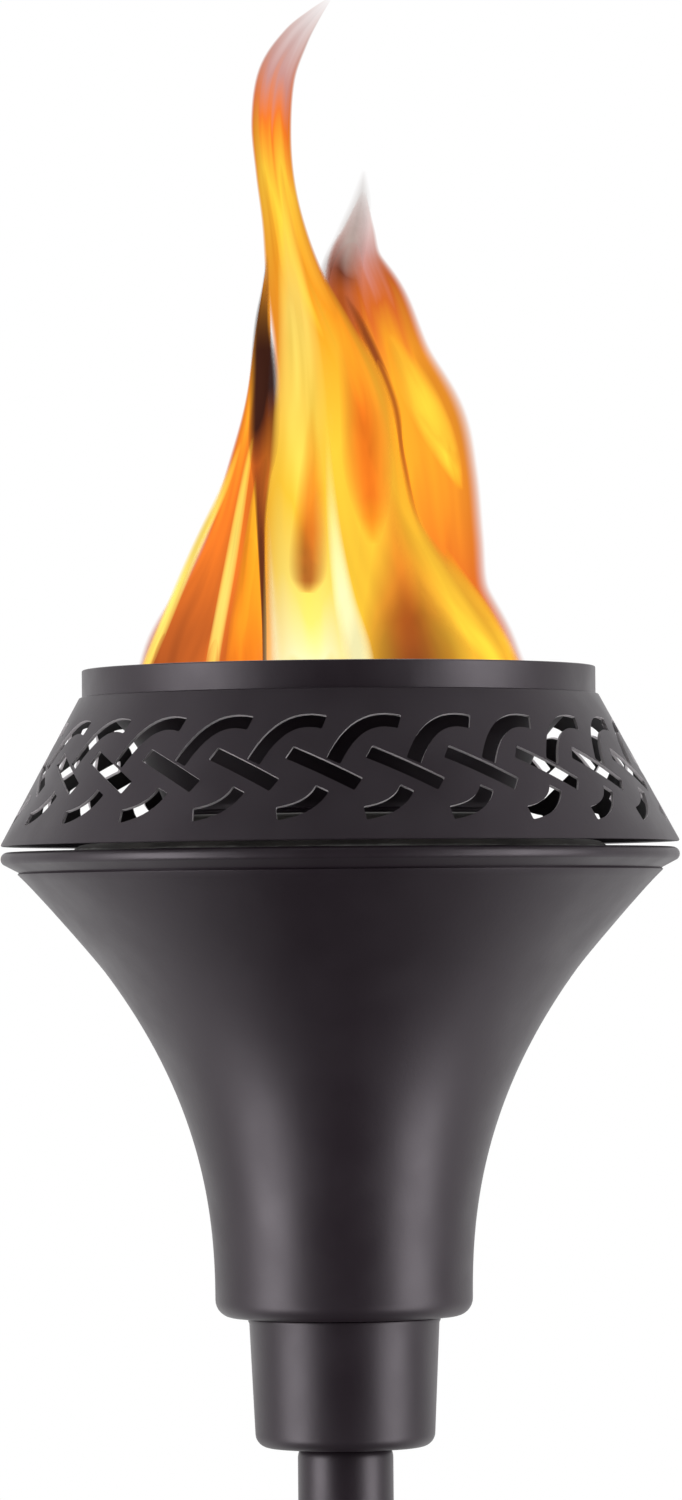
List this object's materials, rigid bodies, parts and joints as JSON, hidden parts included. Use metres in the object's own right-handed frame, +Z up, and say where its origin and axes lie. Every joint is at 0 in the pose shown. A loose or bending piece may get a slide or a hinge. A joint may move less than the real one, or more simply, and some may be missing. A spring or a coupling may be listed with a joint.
{
  "type": "tiki torch",
  "caption": "Garden torch with a flared metal bowl, a pierced crown over a screw-capped wick canister, and a take-apart pole on a step-in ground stake.",
  "frame": {"origin": "middle of the step bar's underside, level with the ground, on the pole's axis", "axes": "+Z up along the pole, +X along the step bar, the lock knob faces -Y"},
  "size_m": [0.1714, 0.1714, 1.6501],
  "materials": {
    "charcoal_paint": "satin",
    "tinplate": "bright",
    "zinc": "zinc plated",
    "glass_fibre": "braided",
    "gasket": "matt",
    "nylon": "plain",
    "black_plastic": "fine grained"
  },
  "bodies": {
    "stake": {"step_bar": "charcoal_paint", "tine_left": "charcoal_paint", "tine_right": "charcoal_paint", "stake_socket": "charcoal_paint", "weld_nut": "zinc"},
    "lock_tip": {"lock_screw_tip": "nylon"},
    "lock": {"lock_screw": "zinc", "lock_knob": "black_plastic"},
    "pole_4": {"pole_section_4": "charcoal_paint"},
    "pole_3": {"pole_section_3": "charcoal_paint"},
    "pole_2": {"pole_section_2": "charcoal_paint"},
    "pole_1": {"pole_section_1": "charcoal_paint"},
    "head": {"pole_socket": "charcoal_paint", "socket_plug": "zinc", "collar": "charcoal_paint", "bowl": "charcoal_paint", "bowl_washer": "zinc", "bowl_bolt": "zinc"},
    "canister": {"canister_body": "tinplate", "canister_shoulder": "tinplate", "filler_neck": "tinplate"},
    "cap_seal": {"cap_gasket": "gasket"},
    "cap": {"wick_cap": "tinplate", "wick_tube": "tinplate"},
    "wick": {"wick": "glass_fibre"},
    "crown": {"crown_shell": "charcoal_paint", "crown_liner": "charcoal_paint"}
  },
  "joints": [
    {"name": "lock_advance", "type": "slide", "parent": "stake", "child": "lock_tip", "axis": [0, -1, 0], "range_m": [0, 0.0052]},
    {"name": "lock_turn", "type": "hinge", "parent": "lock_tip", "child": "lock", "pos_m": [0, -0.02, 0.062], "axis": [0, -1, 0], "range_deg": [0, 1800]},
    {"name": "pole_4_pull", "type": "slide", "parent": "stake", "child": "pole_4", "axis": [0, 0, 1], "range_m": [0, 0.1]},
    {"name": "pole_3_pull", "type": "slide", "parent": "pole_4", "child": "pole_3", "axis": [0, 0, 1], "range_m": [0, 0.055]},
    {"name": "pole_2_pull", "type": "slide", "parent": "pole_3", "child": "pole_2", "axis": [0, 0, 1], "range_m": [0, 0.055]},
    {"name": "pole_1_pull", "type": "slide", "parent": "pole_2", "child": "pole_1", "axis": [0, 0, 1], "range_m": [0, 0.055]},
    {"name": "head_pull", "type": "slide", "parent": "pole_1", "child": "head", "axis": [0, 0, 1], "range_m": [0, 0.03]},
    {"name": "canister_lift", "type": "slide", "parent": "head", "child": "canister", "axis": [0, 0, 1], "range_m": [0, 0.15]},
    {"name": "cap_rise", "type": "slide", "parent": "canister", "child": "cap_seal", "axis": [0, 0, 1], "range_m": [0, 0.0098]},
    {"name": "cap_turn", "type": "hinge", "parent": "cap_seal", "child": "cap", "pos_m": [0, 0, 1.463], "axis": [0, 0, 1], "range_deg": [0, 1080]},
    {"name": "wick_slide", "type": "slide", "parent": "cap", "child": "wick", "axis": [0, 0, 1], "range_m": [-0.012, 0.02]},
    {"name": "crown_lift", "type": "slide", "parent": "canister", "child": "crown", "axis": [0, 0, 1], "range_m": [0, 0.12]}
  ],
  "couplings": [
    {"joint": "lock_advance", "follows": "lock_turn", "m_per_rad": 0.00015915},
    {"joint": "cap_rise", "follows": "cap_turn", "m_per_rad": 0.0005093}
  ]
}
